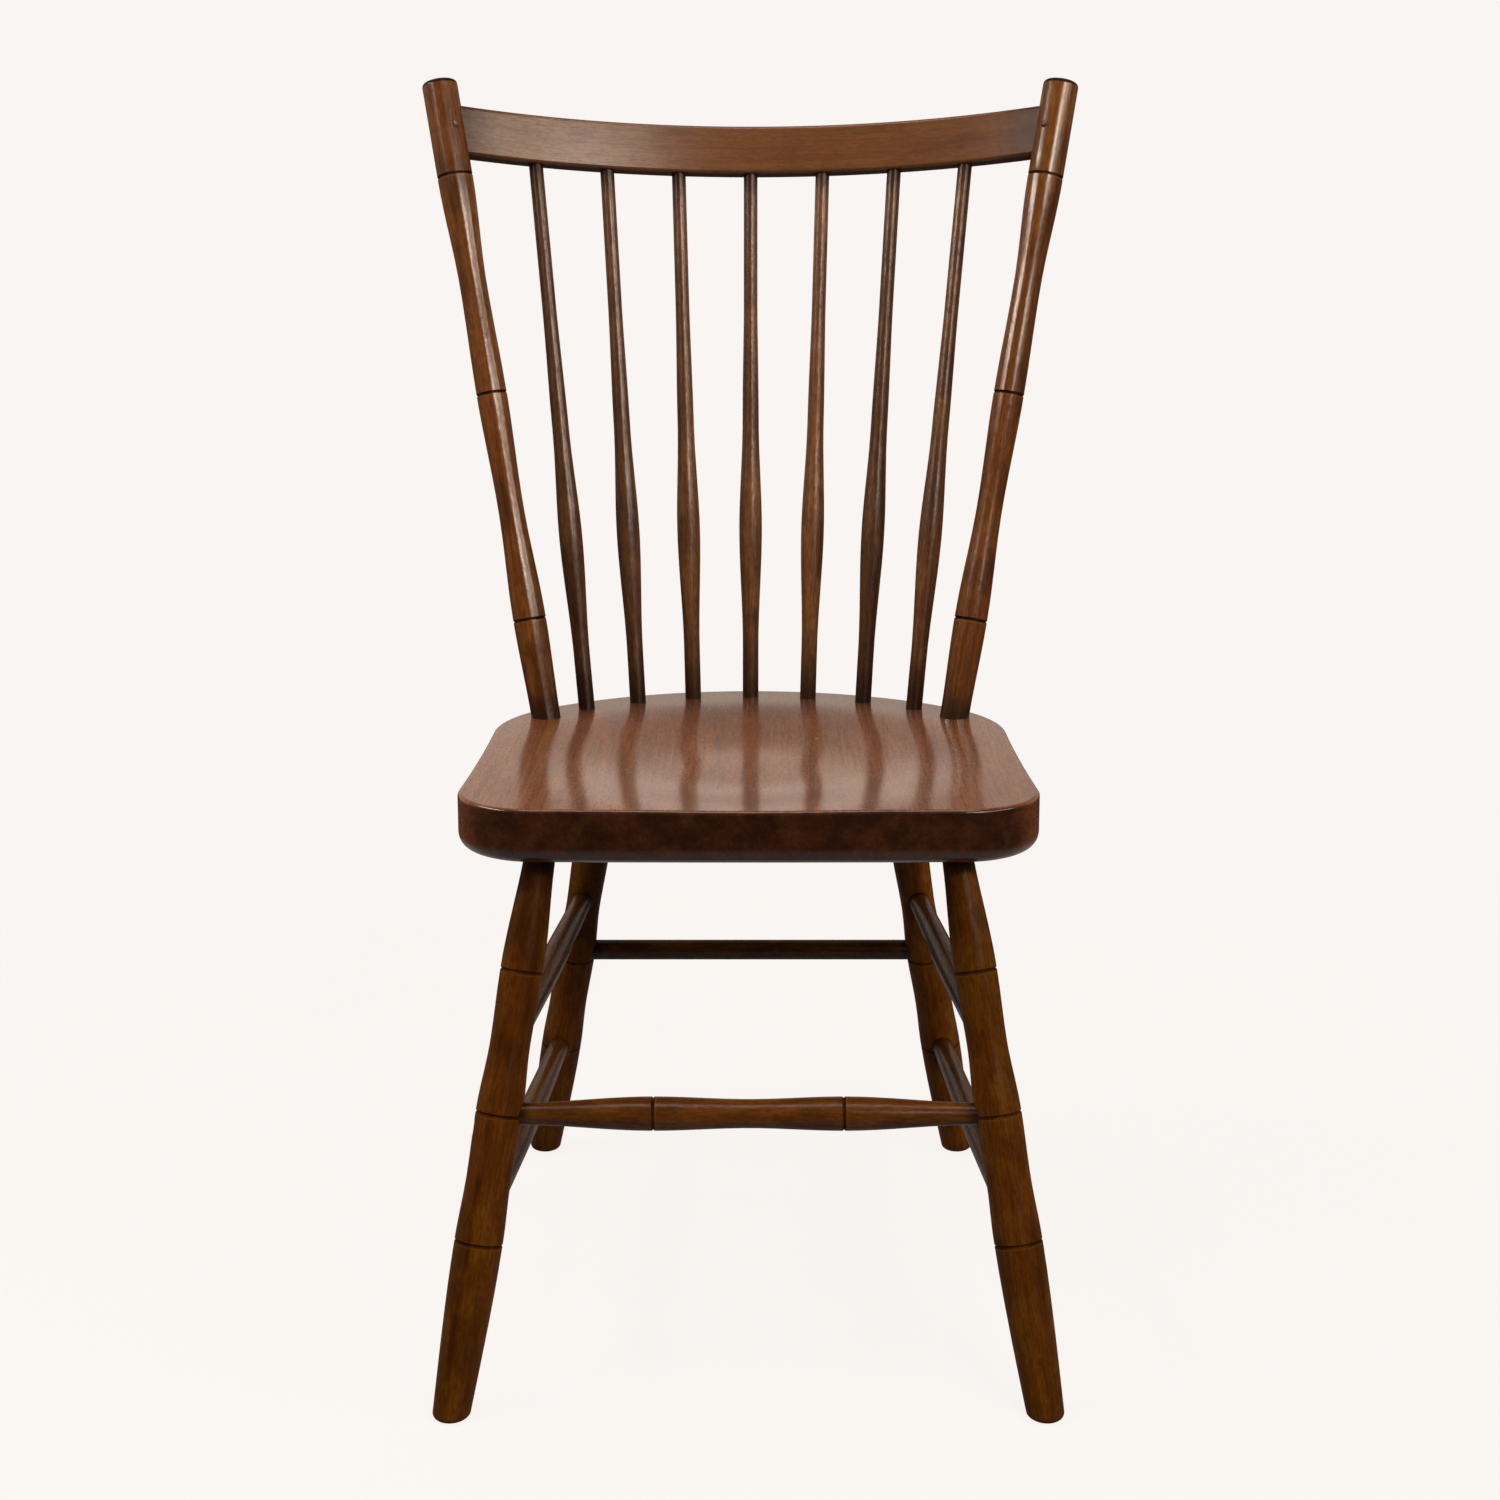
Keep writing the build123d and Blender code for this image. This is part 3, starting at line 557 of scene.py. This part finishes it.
def makeFloor():
    bpy.ops.mesh.primitive_circle_add(vertices=floorLook["sides"], radius=floorLook["radius"],
                                      fill_type="NGON", location=(0, 0, floorLook["height"]))
    floor = bpy.context.object
    floor.name = "floor"
    material = bpy.data.materials.new("paleFloor")
    material.use_nodes = True
    tree = material.node_tree
    tree.nodes.clear()
    place = newNode(tree, "ShaderNodeTexCoord").outputs["Object"]
    away = newNode(tree, "ShaderNodeVectorMath", {0: place}, operation="LENGTH").outputs["Value"]
    fade = fadeNode(tree, away, floorLook["fadeStart"], floorLook["radius"] * floorLook["fadeEnd"], 1.0, 0.0)
    matte = newNode(tree, "ShaderNodeBsdfDiffuse", {"Color": opaque(floorLook["shade"])})
    path = newNode(tree, "ShaderNodeLightPath").outputs
    direct = mathNode(tree, "MAXIMUM", path["Is Camera Ray"], path["Is Transmission Ray"])
    seen = mathNode(tree, "MULTIPLY", direct, floorLook["glow"])
    mirrored = mathNode(tree, "MULTIPLY", path["Is Glossy Ray"], floorLook["gloss"])
    glow = newNode(tree, "ShaderNodeEmission", {"Color": opaque(studio["backdrop"])})
    feedSocket(tree, glow.inputs["Strength"], mathNode(tree, "ADD", seen, mirrored))
    both = newNode(tree, "ShaderNodeAddShader", {0: matte.outputs[0], 1: glow.outputs[0]})
    clear = newNode(tree, "ShaderNodeBsdfTransparent")
    blend = newNode(tree, "ShaderNodeMixShader", {0: fade, 1: clear.outputs[0], 2: both.outputs[0]})
    newNode(tree, "ShaderNodeOutputMaterial", {"Surface": blend.outputs[0]})
    floor.data.materials.append(material)


makeWorld()
makeFloor()

# Lamps

lamps = {
    "overheadLamp": {"at": (0.0, -0.45, 2.6), "towards": (0, -0.1, 0.45), "size": (1.6, 1.0),
                     "power": 19.0, "tint": (1.0, 0.94, 0.88)},
    "frontRightLamp": {"at": (3.51, -2.85, 2.79), "towards": (0, 0.1, 0.8), "size": (5.1, 1.05),
                       "power": 130.0, "tint": (1.0, 0.86, 0.72)},
    "railLamp": {"at": (1.90, -3.93, 2.86), "towards": (-0.15, 0.2, 0.93), "size": (1.6, 0.42),
                 "power": 50.0, "tint": (1.0, 0.86, 0.74)},
    "leftLamp": {"at": (-1.68, -0.40, 1.80), "towards": (0.25, 0.2, 0.81), "size": (1.35, 0.24),
                 "power": 26.0, "tint": (1.0, 0.90, 0.82)},
}
for name, lamp in lamps.items():
    data = bpy.data.lights.new(name, "AREA")
    data.shape = "RECTANGLE"
    data.size, data.size_y = lamp["size"]
    data.energy = lamp["power"]
    data.color = lamp["tint"]
    lampObject = bpy.data.objects.new(name, data)
    scene.collection.objects.link(lampObject)
    lampObject.location = lamp["at"]
    aim = Vector(lamp["towards"]) - Vector(lamp["at"])
    lampObject.rotation_euler = aim.to_track_quat("-Z", "Y").to_euler()

# Camera at the photograph's angle

view = {"at": (0.0088, -1.7949, 0.8830), "pitch": 78.966, "sensor": 36.0, "lens": 53.33,
        "shift": (-0.00684, -0.0724)}
cameraData = bpy.data.cameras.new("camera")
cameraData.sensor_width = view["sensor"]
cameraData.lens = view["lens"]
cameraData.shift_x, cameraData.shift_y = view["shift"]
camera = bpy.data.objects.new("camera", cameraData)
scene.collection.objects.link(camera)
camera.location = view["at"]
camera.rotation_euler = (math.radians(view["pitch"]), 0, 0)
scene.camera = camera
scene.view_settings.view_transform = "Standard"
print("studio set up")
